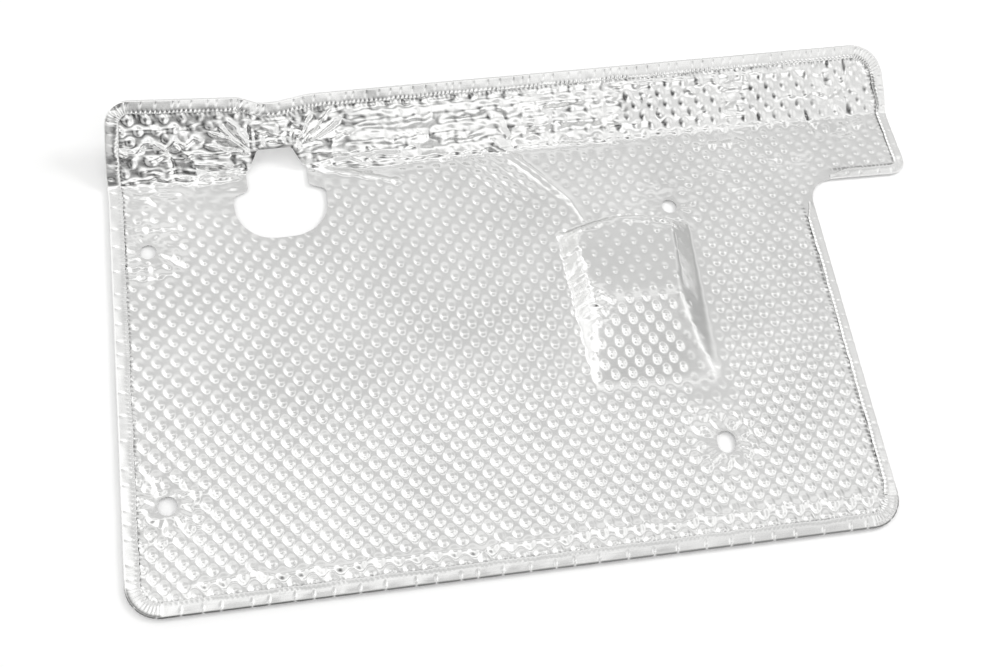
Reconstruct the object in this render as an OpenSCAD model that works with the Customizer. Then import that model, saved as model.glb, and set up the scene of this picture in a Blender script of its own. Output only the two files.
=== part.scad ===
// Heat shield for an engine bay: one thin aluminium sheet with an upturned rear flange,
// an ear on its right, a keyhole cut across the bend, a drawn blister and a hemmed edge.
// Millimetres. The origin is the centre of the four fixing holes, on the sheet's underside.
// +X runs to the right along the front edge, +Y runs back to the flange, +Z is up.

/* [Sheet] */
// Thickness of the sheet
sheet_t = 0.5; // [0.3:0.05:0.9]
// Width of the folded hem round the outer edge
hem_w = 6.4; // [4:0.2:8]
// Height of the folded hem, both layers and the gap between them
hem_t = 1.8; // [1.4:0.1:2.6]

/* [Panel] */
// Width of the panel along its front edge
panel_w = 335.5; // [290:0.5:420]
// Distance from the front edge to the bend line, at the left edge
panel_d = 205; // [195:1:260]
// How far the left edge leans inwards by the time it meets the bend
left_lean = 4; // [0:0.5:8]
// Radius of the two front corners
front_r = 15; // [8:1:20]

/* [Ear] */
// How far the ear stands out past the right edge of the panel
ear_w = 52.5; // [35:0.5:80]
// Depth of the ear in front of the bend line
ear_d = 36; // [24:1:60]
// How far the ear's outer edge leans inwards by the time it meets the bend
ear_lean = 2; // [0:0.5:6]
// Radius of the ear's front corner
ear_r = 7.5; // [6.5:0.5:10]
// Radius of the hollow corner between the ear and the panel
notch_r = 12; // [6:1:16]

/* [Flange] */
// Width of the flange, from the bend line to its edge
flange_w = 35.2; // [30:0.2:50]
// Extra width of the flange at its left end
flange_rise = 4.8; // [0:0.2:6]
// Angle that the flange is bent up from the panel
bend_angle = 40; // [20:1:60]
// Angle between the bend line and the front edge
bend_skew = 1.2; // [0:0.1:2]
// Inside radius of the bend
bend_r = 4; // [3:0.5:8]
// How far each end of the flange leans inwards above the bend
flange_lean = 3.5; // [0:0.5:6]
// Radius of the flange's left corner
flange_left_r = 11; // [8:1:16]
// Radius of the flange's right corner
flange_right_r = 18; // [10:1:22]
// Depth of the dip that the edge takes over the keyhole
dip_d = 2.3; // [0.5:0.1:4]

/* [Keyhole] */
// Distance of the keyhole's centre line from the panel's left corner
key_x = 81.4; // [70:1:110]
// Width of the wide part
key_w = 43; // [36:1:54]
// Distance from the bend line to the front of the wide part
key_front = 35.3; // [32:0.5:45]
// Distance from the bend line to the shoulders of the wide part
key_shoulder = 11.5; // [9.5:0.5:14]
// Radius of the wide part's front corners
key_front_r = 18; // [8:1:21]
// Width of the neck that crosses the bend
neck_w = 28.5; // [24:0.5:32]
// Width of the mouth where it ends in the flange
mouth_w = 16; // [12:0.5:20]
// Height of the mouth above the bend line
mouth_h = 11.2; // [8:0.2:15]

/* [Fixing holes] */
// Distance between the left and right holes
hole_span_x = 244; // [210:1:300]
// Distance between the front and rear holes
hole_span_y = 122; // [100:1:150]
// Distance of the left holes from the panel's left corner
hole_x = 20; // [16:1:30]
// Distance of the front holes from the front edge
hole_y = 47.8; // [30:0.2:50]
// Diameter of the two rear holes
rear_hole_d = 7.4; // [5:0.1:9]
// Diameter of the front left hole
front_hole_d = 8.6; // [5:0.1:10]
// Length of the slotted front right hole, which is as wide as the front left one
slot_l = 10.6; // [10.2:0.1:14]

/* [Blister] */
// Distance of the blister's centre line from the left holes
blister_x = 219; // [205:1:230]
// Distance of the back corners of the blister's foot from the line of the rear holes
blister_back = 9; // [8:0.5:16]
// Width of the blister at its foot
blister_w = 64; // [50:1:70]
// Length of the blister at its foot, back wall to the end of the ramp
blister_l = 82; // [70:1:95]
// Height of the blister above the panel
blister_h = 9; // [5:0.5:14]
// Length of the level top
top_l = 34; // [20:1:40]
// Slope width of the left wall
left_run = 6.5; // [4:0.5:9]
// Slope width of the right wall
right_run = 10.5; // [4:0.5:14]
// Slope width of the back wall
back_run = 5; // [3:0.5:9]
// Width that the foot loses on each side by the end of the ramp
ramp_taper = 3; // [0:0.5:6]
// How far the back edge bows outwards
back_bow = 6; // [0:0.5:8]

/* [Hidden] */
$fn = 64;
ALUMINIUM = [0.86, 0.87, 0.88];
FAR = 600;
SLIVER = 0.02;
ARC_STEP = 12;
BEND_STEPS = 8;
EDGE_SETTLE = 8;
SETTLE_R = 60;
OVERRUN = 1;
HEM_LAP = 2;
HEM_MIN_R = 0.5;
FOLD_STEPS = 6;
HEM_R = (hem_t - SLIVER) / 2;
SHEET_INSET = HEM_R + HEM_LAP / 4;
FLANGE_INSET = HEM_R + HEM_LAP / 2;
RAW_END = 0.5;
DIP_LEFT = key_x - 14;
DIP_FLOOR_LEFT = key_x - 5;
DIP_FLOOR_RIGHT = key_x + 3;
DIP_RIGHT = key_x + 18;
DIP_LIP = 1.2;
DIP_LEFT_R = 9;
DIP_FLOOR_R = 12;
DIP_RIGHT_R = 40;
KEY_SHOULDER_R = 3;
SHOULDER_DROP = 3;
NECK_R = 1.5;
NECK_TOP = 2;
NECK_TOP_R = 0.8;
GABLE_TOP = 6;
MOUTH_STEP = 3.5;
MOUTH_R = 1.8;
BLISTER_R = 7;
RAMP_R = 2;
BOW_R = 30;
BOW_W = 0.45;
CREST_H = 2;
CREST_RUN = 0.25;
OUTER_R = bend_r + sheet_t;
SETBACK = OUTER_R * tan(bend_angle / 2);
BEND_LENGTH = OUTER_R * bend_angle * PI / 180;
LEFT_END = left_lean;
RIGHT_END = panel_w + ear_w - ear_lean;
EAR_Y = panel_d + (panel_w + ear_w) * tan(bend_skew) - ear_d;
REAR_HOLE_Y = hole_y + hole_span_y;
RIGHT_HOLE_X = hole_x + hole_span_x;

// A corner is [x, y, radius], and a list of corners makes an outline, counter-clockwise.
function xy(c) = [c[0], c[1]];
function unit(v) = v / norm(v);
function left_of(v) = [-v[1], v[0]];
function heading(v) = atan2(v[1], v[0]);
function turn(a, b, c) = sign(cross(xy(b) - xy(a), xy(c) - xy(b)));
function half_angle(a, b, c) = acos(unit(xy(a) - xy(b)) * unit(xy(c) - xy(b))) / 2;
function trim(a, b, c) = b[2] / tan(half_angle(a, b, c));
function arc_start(a, b, c) = xy(b) + unit(xy(a) - xy(b)) * trim(a, b, c);
function arc_end(a, b, c) = xy(b) + unit(xy(c) - xy(b)) * trim(a, b, c);
function arc_centre(a, b, c) =
    xy(b) + unit(unit(xy(a) - xy(b)) + unit(xy(c) - xy(b))) * b[2] / sin(half_angle(a, b, c));

// The points of one rounded corner, each with its unit normal into the sheet: [point, normal].
// The sheet's edge takes one step more than the hem that covers it, so that no two edges coincide.
function arc(a, b, c, more = 0) =
    let (m = arc_centre(a, b, c), side = turn(a, b, c), from = heading(arc_start(a, b, c) - m),
         sweep = side * (180 - 2 * half_angle(a, b, c)), steps = max(2, ceil(abs(sweep) / ARC_STEP)) + more)
    [for (i = [0:steps])
        let (way = [cos(from + sweep * i / steps), sin(from + sweep * i / steps)]) [m + b[2] * way, -side * way]];
function neighbours(p, i) = [p[(i + len(p) - 1) % len(p)], p[i], p[(i + 1) % len(p)]];
function rounded(p, more = 0) =
    [for (i = [0:len(p) - 1])
        let (n = neighbours(p, i)) each (p[i][2] > 0 ? [for (s = arc(n[0], n[1], n[2], more)) s[0]] : [xy(p[i])])];

// The bend's frame: x along the bend line, y away from the front edge, z up from the underside.
module in_bend_frame() { translate([0, panel_d, 0]) rotate([0, 0, bend_skew]) children(); }
module in_flange_frame() { rotate([bend_angle, 0, 0]) children(); }
function to_bend(p) =
    let (y = p[1] - panel_d)
    [p[0] * cos(bend_skew) + y * sin(bend_skew), y * cos(bend_skew) - p[0] * sin(bend_skew), p[2]];

// Where a point of the flat blank goes when the flange is bent up.
function folded(x, y, z) =
    y <= -SETBACK ? [x, y, z] :
    y >= BEND_LENGTH - SETBACK ?
        let (s = y - BEND_LENGTH + 2 * SETBACK)
        [x, s * cos(bend_angle) - z * sin(bend_angle), s * sin(bend_angle) + z * cos(bend_angle)] :
        let (a = (y + SETBACK) / BEND_LENGTH * bend_angle)
        [x, (OUTER_R - z) * sin(a) - SETBACK, OUTER_R - (OUTER_R - z) * cos(a)];
function on_blank(p) = [p[0], p[1] + BEND_LENGTH - 2 * SETBACK, p[2]];

// A corner that the hem goes round is never tighter than the hem is wide.
function hemmed(r) = max(r, hem_w + HEM_MIN_R);
FRONT_LEFT = to_bend([0, 0, hemmed(front_r)]);
FRONT_RIGHT = to_bend([panel_w, 0, hemmed(front_r)]);
NOTCH = to_bend([panel_w, EAR_Y, notch_r]);
EAR_CORNER = to_bend([panel_w + ear_w, EAR_Y, hemmed(ear_r)]);
RIGHT_KNEE = [RIGHT_END, -EDGE_SETTLE, SETTLE_R];
LEFT_KNEE = [LEFT_END, -EDGE_SETTLE, SETTLE_R];
PANEL_CORNERS =
    [FRONT_LEFT, FRONT_RIGHT, NOTCH, EAR_CORNER, RIGHT_KNEE, [RIGHT_END, FAR, 0], [LEFT_END, FAR, 0], LEFT_KNEE];

FLANGE_TOP = [
    [RIGHT_END, EDGE_SETTLE, SETTLE_R],
    [RIGHT_END - flange_lean, flange_w, hemmed(flange_right_r)],
    [DIP_RIGHT, flange_w, DIP_RIGHT_R],
    [DIP_FLOOR_RIGHT, flange_w - dip_d, DIP_FLOOR_R],
    [DIP_FLOOR_LEFT, flange_w - dip_d, DIP_FLOOR_R],
    [DIP_LEFT, flange_w + DIP_LIP, hemmed(DIP_LEFT_R)],
    [LEFT_END + flange_lean, flange_w + flange_rise, hemmed(flange_left_r)],
    [LEFT_END, EDGE_SETTLE, SETTLE_R]
];
FLANGE_CORNERS = concat([[LEFT_END, -FAR, 0], [RIGHT_END, -FAR, 0]], FLANGE_TOP);

// The hem's path on the flat blank, from the notch round to the notch: [point, normal into the sheet].
function stations(p) = [for (i = [1:len(p) - 2]) each arc(p[i - 1], p[i], p[i + 1])];
function end_station(p, a, b) = [xy(p), left_of(unit(xy(b) - xy(a)))];
FLANGE_BLANK = [for (c = FLANGE_TOP) on_blank(c)];
BEND_YS = [for (i = [0:BEND_STEPS]) BEND_LENGTH * i / BEND_STEPS - SETBACK];
HEM_PATH = concat(
    [end_station(arc_end(FRONT_RIGHT, NOTCH, EAR_CORNER), NOTCH, EAR_CORNER)],
    stations([NOTCH, EAR_CORNER, RIGHT_KNEE, FLANGE_BLANK[0]]),
    [for (y = BEND_YS) [[RIGHT_END, y], [-1, 0]]],
    stations(concat([RIGHT_KNEE], FLANGE_BLANK, [LEFT_KNEE])),
    [for (i = [BEND_STEPS:-1:0]) [[LEFT_END, BEND_YS[i]], [1, 0]]],
    stations([FLANGE_BLANK[len(FLANGE_BLANK) - 1], LEFT_KNEE, FRONT_LEFT, FRONT_RIGHT, NOTCH]),
    [end_station(arc_start(FRONT_RIGHT, NOTCH, EAR_CORNER), FRONT_RIGHT, NOTCH)]
);

// The hem's section, the sheet turned back over itself: pairs of [distance from the edge, height],
// outer face and inner face, from the lap inside the sheet round the fold to the raw edge.
function fold_point(r, i) = [HEM_R - r * sin(180 * i / FOLD_STEPS), hem_t - HEM_R - r * cos(180 * i / FOLD_STEPS)];
HEM_OUTER = concat([[HEM_R + HEM_LAP, SLIVER]], [for (i = [0:FOLD_STEPS]) fold_point(HEM_R, i)], [[hem_w, hem_t]]);
HEM_INNER = concat(
    [[HEM_R + HEM_LAP, sheet_t - SLIVER]],
    [for (i = [0:FOLD_STEPS]) fold_point(HEM_R - sheet_t + 2 * SLIVER * (1 - i / FOLD_STEPS), i)],
    [[hem_w, hem_t - sheet_t]]);
HEM_SECTION = concat(HEM_OUTER, [for (i = [len(HEM_INNER) - 1:-1:0]) HEM_INNER[i]]);

// Sweeps the section along the path on the blank, and folds the result with the flange.
module hem() {
    n = len(HEM_SECTION);
    last = len(HEM_PATH) - 1;
    points = [for (s = HEM_PATH, q = HEM_SECTION) let (p = s[0] + s[1] * q[0]) folded(p[0], p[1], q[1])];
    sides = [for (k = [0:last - 1], j = [0:n - 1])
        let (a = k * n + j, b = k * n + (j + 1) % n) each [[a, b, b + n], [a, b + n, a + n]]];
    caps = [for (j = [0:n / 2 - 2], k = [0, last])
        let (a = k * n + j, b = a + 1, c = k * n + n - 2 - j, d = c + 1)
        each (k == 0 ? [[a, c, b], [a, d, c]] : [[a, b, c], [a, c, d]])];
    polyhedron(points, concat(sides, caps));
}

// The keyhole's outline seen from above, with the gable that it ends in just past the bend.
module keyhole_front() {
    half = key_w / 2;
    neck = neck_w / 2;
    gable = mouth_w / 4;
    foreshorten = cos(bend_angle);
    polygon(rounded([
        [key_x - half, -key_front, key_front_r], [key_x + half, -key_front, key_front_r],
        [key_x + half, -key_shoulder, KEY_SHOULDER_R], [key_x + neck, SHOULDER_DROP - key_shoulder, NECK_R],
        [key_x + neck, NECK_TOP * foreshorten, NECK_TOP_R], [key_x + gable, GABLE_TOP * foreshorten, 0],
        [key_x - gable, GABLE_TOP * foreshorten, 0], [key_x - neck, NECK_TOP * foreshorten, NECK_TOP_R],
        [key_x - neck, SHOULDER_DROP - key_shoulder, NECK_R], [key_x - half, -key_shoulder, KEY_SHOULDER_R]]));
}

// The keyhole's outline in the flange, narrowing to the mouth.
module keyhole_mouth() {
    foot = (neck_w - MOUTH_STEP) / 2;
    top = mouth_w / 2;
    polygon(rounded([
        [key_x - foot, 0, 0], [key_x + foot, 0, 0], [key_x + top, mouth_h, MOUTH_R], [key_x - top, mouth_h, MOUTH_R]]));
}

// Section of the bent sheet, as [distance from the bend line, height], long enough for any outline.
module bent_section() {
    turns = [for (i = [0:BEND_STEPS]) bend_angle * i / BEND_STEPS];
    end = [FAR * cos(bend_angle), FAR * sin(bend_angle)];
    thick = sheet_t * [-sin(bend_angle), cos(bend_angle)];
    polygon(concat(
        [[-FAR, 0]], [for (a = turns) [OUTER_R * sin(a) - SETBACK, OUTER_R * (1 - cos(a))]], [end, end + thick],
        [for (i = [BEND_STEPS:-1:0]) [bend_r * sin(turns[i]) - SETBACK, OUTER_R - bend_r * cos(turns[i])]],
        [[-FAR, sheet_t]]));
}

// What is trimmed off the panel: everything outside its outline, and the keyhole.
module panel_trim() {
    difference() {
        translate([-FAR, -2 * FAR]) square([3 * FAR, 2 * FAR]);
        offset(delta = -SHEET_INSET) polygon(rounded(PANEL_CORNERS, 1));
        intersection() {
            polygon(rounded(PANEL_CORNERS));
            translate(xy(NOTCH)) circle(trim(FRONT_RIGHT, NOTCH, EAR_CORNER) + RAW_END);
        }
    }
    keyhole_front();
}

module flange_trim() {
    difference() {
        translate([-FAR, -OVERRUN]) square([3 * FAR, 2 * FAR]);
        offset(delta = -FLANGE_INSET) polygon(rounded(FLANGE_CORNERS, 1));
    }
    keyhole_mouth();
}

// The bent sheet, trimmed to its outline. The hem's lap covers its edge.
module sheet() {
    difference() {
        translate([-FAR / 2, 0, 0]) rotate([90, 0, 90]) linear_extrude(2 * FAR) bent_section();
        translate([0, 0, -OVERRUN]) linear_extrude(mouth_h) panel_trim();
        in_flange_frame() translate([0, 0, -OVERRUN]) linear_extrude(bend_r) flange_trim();
    }
}

// Plan of the blister, from its foot at depth 0 to its level top at depth 1.
module blister_plan(depth, length, taper) {
    left = left_run * depth - blister_w / 2;
    right = blister_w / 2 - right_run * depth;
    back = REAR_HOLE_Y - blister_back - back_run * depth;
    middle = (left + right) / 2;
    bow = (right - left) / 2 * BOW_W;
    translate([hole_x + blister_x, 0]) polygon(rounded([
        [left + taper, back - length, RAMP_R], [right - taper, back - length, RAMP_R], [right, back, BLISTER_R],
        [middle + bow, back + back_bow, BOW_R], [middle - bow, back + back_bow, BOW_R], [left, back, BLISTER_R]]));
}

// The blister as a solid form. Shrunk and lowered by the sheet, it is also the hollow under it.
module blister_form(shrink) {
    crest = 1 - CREST_RUN;
    hull() {
        linear_extrude(sheet_t) offset(delta = -shrink) blister_plan(0, blister_l, ramp_taper);
        translate([0, 0, blister_h + sheet_t - CREST_H]) linear_extrude(SLIVER)
            offset(delta = -shrink) blister_plan(crest, top_l + CREST_H, 0);
        translate([0, 0, blister_h + sheet_t - SLIVER]) linear_extrude(SLIVER)
            offset(delta = -shrink) blister_plan(1, top_l, 0);
    }
}

// A fixing hole, drawn out along Y where it is a slot.
module fixing_hole(x, y, d, length) {
    reach = (length - d) / 2;
    translate([x, y, -OVERRUN]) linear_extrude(sheet_t + 2 * OVERRUN) {
        for (end = [-reach, reach]) translate([0, end]) circle(d = d);
        if (reach > 0) translate([-d / 2, -reach]) square([d, 2 * reach]);
    }
}

module fixing_holes() {
    for (x = [hole_x, RIGHT_HOLE_X]) fixing_hole(x, REAR_HOLE_Y, rear_hole_d, rear_hole_d);
    fixing_hole(hole_x, hole_y, front_hole_d, front_hole_d);
    fixing_hole(RIGHT_HOLE_X, hole_y, front_hole_d, slot_l);
}

module shield() {
    color(ALUMINIUM) translate([-hole_x - hole_span_x / 2, -hole_y - hole_span_y / 2, 0]) {
        difference() {
            union() {
                in_bend_frame() sheet();
                blister_form(0);
            }
            translate([0, 0, -sheet_t]) blister_form(sheet_t);
            fixing_holes();
        }
        in_bend_frame() hem();
    }
}

shield();
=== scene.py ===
"""Heat shield: the looks. One sheet of embossed aluminium with a folded hem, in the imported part's frame."""

import math

import bpy
import numpy as np
from mathutils import Matrix, Vector


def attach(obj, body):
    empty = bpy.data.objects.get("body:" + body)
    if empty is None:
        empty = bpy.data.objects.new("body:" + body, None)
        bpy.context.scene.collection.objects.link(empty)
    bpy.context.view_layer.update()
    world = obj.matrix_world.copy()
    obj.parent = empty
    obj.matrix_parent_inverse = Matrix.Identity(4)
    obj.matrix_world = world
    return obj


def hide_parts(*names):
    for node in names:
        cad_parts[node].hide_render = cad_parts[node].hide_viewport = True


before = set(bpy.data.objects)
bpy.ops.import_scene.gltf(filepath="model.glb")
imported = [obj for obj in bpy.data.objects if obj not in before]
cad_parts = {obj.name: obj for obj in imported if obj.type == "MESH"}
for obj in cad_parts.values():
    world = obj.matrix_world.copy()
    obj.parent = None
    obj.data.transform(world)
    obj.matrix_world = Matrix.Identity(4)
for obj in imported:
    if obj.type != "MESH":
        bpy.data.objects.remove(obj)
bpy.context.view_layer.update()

# Sizes are in millimetres on the flat blank, as in the part's source: u along the front edge, v away from it.
MM = 0.001
ORIGIN = (142.0, 108.8)  # the frame's origin on the blank
SHEET_T = 0.5
PANEL_W, PANEL_D = 335.5, 205.0
EAR_X, EAR_Y = 388.0, 177.13
NOTCH_R = 12.0
BEND, SKEW = math.radians(40), math.radians(1.2)
OUTER_R = 4.5
SETBACK = OUTER_R * math.tan(BEND / 2)
BEND_LENGTH = OUTER_R * BEND
FLANGE_TOP, DIP_TOP, LEFT_TOP = 35.2, 32.9, 40.0  # the flange's edge: right, over the keyhole, left
HEM_W = 6.4
HEM_T = 1.8
HEM_R = 0.89
HEM_NARROWER = 1.4  # along the right side
SHEET_INSET = 2.2  # the sheet's own edge, hidden in the fold
HEM_LAP = 0.5
KEY_TOP = 11.2

# The embossing: ovals in staggered rows, parallel to the front edge.
PITCH_U, PITCH_V = 8.0, 4.834
LATTICE = (128.4, 119.2)
DOME_A, DOME_B, DOME_H = 2.45, 3.0, 1.22
DOME_SHIFT, DOME_SIZE_VARIES, DOME_HEIGHT_VARIES = 0.13, 0.05, 0.1

# How finely outlines and the grid are cut
OUTLINE_STEP, HEM_STEP = 0.4, 0.55
NOTCH_POINTS, HOLE_POINTS = 26, 72
STEPS_U, STEPS_V = 12, 7
DU, DV = PITCH_U / STEPS_U, PITCH_V / STEPS_V
SNAP = 0.36  # grid points this close to an edge move onto it
FAR = 99.0  # stands for a distance too long to matter

# Round holes as (u, v, radius, extra length each way along v)
HOLES = (
    (20.0, 169.8, 3.7, 0.0),
    (264.0, 169.8, 3.7, 0.0),
    (20.0, 47.8, 4.3, 0.0),
    (264.0, 47.8, 4.3, 1.0),
)


# ---------------------------------------------------------------- the blank


def from_bend(x, y):
    """A point in the bend's frame (y from the bend line) on the blank."""
    c, s = math.cos(SKEW), math.sin(SKEW)
    return np.array([x * c - y * s, PANEL_D + x * s + y * c])


def from_flange(x, s):
    """The same, with s measured on the flange from where its planes would meet."""
    return from_bend(x, s + BEND_LENGTH - 2 * SETBACK)


def to_bend(u, v):
    """From the blank to the bend's frame."""
    c, s = math.cos(SKEW), math.sin(SKEW)
    y = v - PANEL_D
    return u * c + y * s, y * c - u * s


def placed(u, v, z):
    """Points of the blank at height z, folded, in the frame and in metres."""
    x, y = to_bend(u, v)
    a = np.clip((y + SETBACK) / BEND_LENGTH, 0, 1) * BEND
    past = np.maximum(y + SETBACK - BEND_LENGTH, 0)
    r = OUTER_R - z
    flat = y < -SETBACK
    yy = np.where(flat, y, r * np.sin(a) - SETBACK + past * math.cos(BEND))
    zz = np.where(flat, z, OUTER_R - r * np.cos(a) + past * math.sin(BEND))
    c, s = math.cos(SKEW), math.sin(SKEW)
    return MM * np.stack([x * c - yy * s - ORIGIN[0], PANEL_D + x * s + yy * c - ORIGIN[1], zz], -1)


def rounded(corners, step):
    """A closed outline from (u, v, radius) corners, as points no further apart than step."""
    pts = [np.array(c[:2], float) for c in corners]
    out = []
    for i, (_, _, r) in enumerate(corners):
        p, a, b = pts[i], pts[i - 1], pts[(i + 1) % len(pts)]
        da, db = (a - p) / np.linalg.norm(a - p), (b - p) / np.linalg.norm(b - p)
        turn = math.pi - math.acos(np.clip(da @ db, -1, 1))
        t = r * math.tan(turn / 2)
        start, end = p + da * t, p + db * t
        centre = p + (da + db) / np.linalg.norm(da + db) * math.hypot(r, t)
        n = max(3, int(r * turn / step) + 2)
        a0 = math.atan2(*(start - centre)[::-1])
        a1 = math.atan2(*(end - centre)[::-1])
        sweep = (a1 - a0 + math.pi) % (2 * math.pi) - math.pi
        for k in range(n):
            q = a0 + sweep * k / (n - 1)
            out.append(centre + r * np.array([math.cos(q), math.sin(q)]))
    return np.array(out)


def lengths_along(path):
    """How far along a path each of its points is."""
    return np.r_[0, np.cumsum(np.linalg.norm(np.diff(path, axis=0), axis=1))]


def resampled(path, step, closed=True):
    """The same path as evenly spaced points."""
    if closed:
        path = np.vstack([path, path[:1]])
    d = lengths_along(path)
    n = int(d[-1] / step)
    at = np.linspace(0, d[-1], n + 1)[: n if closed else n + 1]
    return np.stack([np.interp(at, d, path[:, k]) for k in (0, 1)], 1)


def hole_edge(u, v, r, extra):
    """A hole's outline, longer along v where extra is over 0."""
    q = np.linspace(0, 2 * math.pi, HOLE_POINTS + 1)[:-1]
    return np.stack([u + r * np.cos(q), v + r * np.sin(q) + extra * np.sign(np.sin(q))], 1)


def smooth(t):
    """0 up to t = 0, 1 from t = 1, and an S curve between."""
    t = np.clip(t, 0, 1)
    return t * t * (3 - 2 * t)


def rise(x, start, over):
    """0 up to start, and 1 from start + over."""
    return smooth((x - start) / over)


def fall(x, start, over):
    """1 up to start, and 0 from start + over."""
    return 1 - rise(x, start, over)


def hump(x, middle, width, power=2):
    """A bell of height 1."""
    return np.exp(-(((x - middle) / width) ** power))


# From the concave corner's ear end round the ear, the flange and the panel, to its other end
NOTCH_A = (PANEL_W, EAR_Y - NOTCH_R)
NOTCH_B = (PANEL_W + NOTCH_R, EAR_Y)
CORNERS = [
    (*NOTCH_B, 0.01),
    (EAR_X, EAR_Y, 7.5),
    (*from_bend(386, -8), 60),
    (*from_flange(386, 8), 60),
    (*from_flange(382.5, FLANGE_TOP), 18),
    (*from_flange(99.4, FLANGE_TOP), 40),
    (*from_flange(84.4, DIP_TOP), 12),
    (*from_flange(76.4, DIP_TOP), 12),
    (*from_flange(67.4, 36.4), 9),
    (*from_flange(7.5, LEFT_TOP), 11),
    (*from_flange(4, 8), 60),
    (*from_bend(4, -8), 60),
    (0, 0, 15),
    (PANEL_W, 0, 15),
    (*NOTCH_A, 0.01),
]
hem_path = resampled(rounded(CORNERS, OUTLINE_STEP), HEM_STEP, closed=False)
hem_along = lengths_along(hem_path)
hem_length = hem_along[-1]
tangent = np.gradient(hem_path, axis=0)
tangent /= np.linalg.norm(tangent, axis=1)[:, None]
hem_in = np.stack([-tangent[:, 1], tangent[:, 0]], 1)
notch_q = np.linspace(math.pi, math.pi / 2, NOTCH_POINTS)
notch_arc = np.stack([NOTCH_B[0] + NOTCH_R * np.cos(notch_q), NOTCH_A[1] + NOTCH_R * np.sin(notch_q)], 1)
sheet_edge = np.vstack([hem_path + hem_in * SHEET_INSET, notch_arc])

# The keyhole: a wide part and a neck in the panel, a mouth that narrows up the flange
WIDE_L, WIDE_R, WIDE_FRONT, WIDE_BACK = 59.9, 102.9, -35.3, -11.5
NECK_L, NECK_R, NECK_FRONT, NECK_BACK = 67.15, 95.65, -8.5, 1.6
MOUTH_L, MOUTH_R, MOUTH_FOOT = 68.9, 93.9, 2.4
MOUTH_TOP_L, MOUTH_TOP_R = 73.4, 89.4
keyhole = rounded(
    [
        (*from_bend(WIDE_L, WIDE_FRONT), 18),
        (*from_bend(WIDE_R, WIDE_FRONT), 18),
        (*from_bend(WIDE_R, WIDE_BACK), 3),
        (*from_bend(NECK_R, NECK_FRONT), 1.5),
        (*from_bend(NECK_R, NECK_BACK), 0.8),
        (*from_flange(MOUTH_R, MOUTH_FOOT), 0.8),
        (*from_flange(MOUTH_TOP_R, KEY_TOP), 1.8),
        (*from_flange(MOUTH_TOP_L, KEY_TOP), 1.8),
        (*from_flange(MOUTH_L, MOUTH_FOOT), 0.8),
        (*from_bend(NECK_L, NECK_BACK), 0.8),
        (*from_bend(NECK_L, NECK_FRONT), 1.5),
        (*from_bend(WIDE_L, WIDE_BACK), 3),
    ],
    OUTLINE_STEP,
)
cuts = [resampled(keyhole, OUTLINE_STEP)] + [hole_edge(*h) for h in HOLES]

# ---------------------------------------------------------------- the grid

LOW_U, HIGH_U, LOW_V, HIGH_V = -4.0, 392.0, -4.0, 256.0
us = np.arange(LATTICE[0] - math.floor((LATTICE[0] - LOW_U) / DU) * DU, HIGH_U, DU)
vs = np.arange(LATTICE[1] - math.floor((LATTICE[1] - LOW_V) / DV) * DV, HIGH_V, DV)
U, V = (grid.copy() for grid in np.meshgrid(us, vs))
NV, NU = U.shape


def inside(poly):
    """Which grid points lie in a polygon, row by row."""
    a, b = poly, np.roll(poly, -1, axis=0)
    found = np.zeros((NV, NU), bool)
    for j, y in enumerate(vs):
        hit = (a[:, 1] > y) != (b[:, 1] > y)
        if hit.any():
            p, q = a[hit], b[hit]
            x = np.sort(p[:, 0] + (y - p[:, 1]) / (q[:, 1] - p[:, 1]) * (q[:, 0] - p[:, 0]))
            found[j] = np.searchsorted(x, us) % 2 == 1
    return found


def near(poly, reach):
    """A mask of the grid points within reach of a polygon's points."""
    mask = np.zeros((NV, NU), bool)
    i = np.rint((poly[:, 0] - us[0]) / DU).astype(int)
    j = np.rint((poly[:, 1] - vs[0]) / DV).astype(int)
    n = int(reach / min(DU, DV)) + 2
    for dj in range(-n, n + 1):
        for di in range(-n, n + 1):
            mask[np.clip(j + dj, 0, NV - 1), np.clip(i + di, 0, NU - 1)] = True
    return mask


def nearest(points, poly, closed=True, batch=4000):
    """Distance to a polyline, the nearest point on it, and how far along it that is."""
    a = poly if closed else poly[:-1]
    b = np.roll(poly, -1, axis=0) if closed else poly[1:]
    d = b - a
    ll = np.maximum((d * d).sum(1), 1e-12)
    best = np.empty(len(points))
    spot = np.zeros_like(points)
    along = np.zeros(len(points))
    starts = np.r_[0, np.cumsum(np.sqrt(ll))][:-1]
    for lo in range(0, len(points), batch):
        part = slice(lo, lo + batch)
        p = points[part, None, :]
        t = np.clip(((p - a) * d).sum(2) / ll, 0, 1)
        q = a + t[..., None] * d
        dist = ((p - q) ** 2).sum(2)
        k = dist.argmin(1)
        r = np.arange(len(k))
        best[part] = np.sqrt(dist[r, k])
        spot[part] = q[r, k]
        along[part] = starts[k] + t[r, k] * np.sqrt(ll[k])
    return best, spot, along


def field_from(marks, reach, path, closed=True):
    """Distance from a path and how far along it, at the grid points within reach of the marks."""
    away, along = np.full((NV, NU), FAR), np.zeros((NV, NU))
    mask = near(marks, reach)
    away[mask], _, along[mask] = nearest(np.stack([U[mask], V[mask]], 1), path, closed)
    return away, along


# 1 on the sheet, 0 on an edge and -1 off it
state = np.where(inside(sheet_edge), 1, -1)
for cut in cuts:
    state[inside(cut)] = -1
for poly in [sheet_edge, *cuts]:
    mask = near(poly, 1.0)
    dist, spot, _ = nearest(np.stack([U[mask], V[mask]], 1), poly)
    close = dist < SNAP
    jj, ii = (k[close] for k in np.nonzero(mask))
    U[jj, ii], V[jj, ii] = spot[close, 0], spot[close, 1]
    state[jj, ii] = 0

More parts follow.
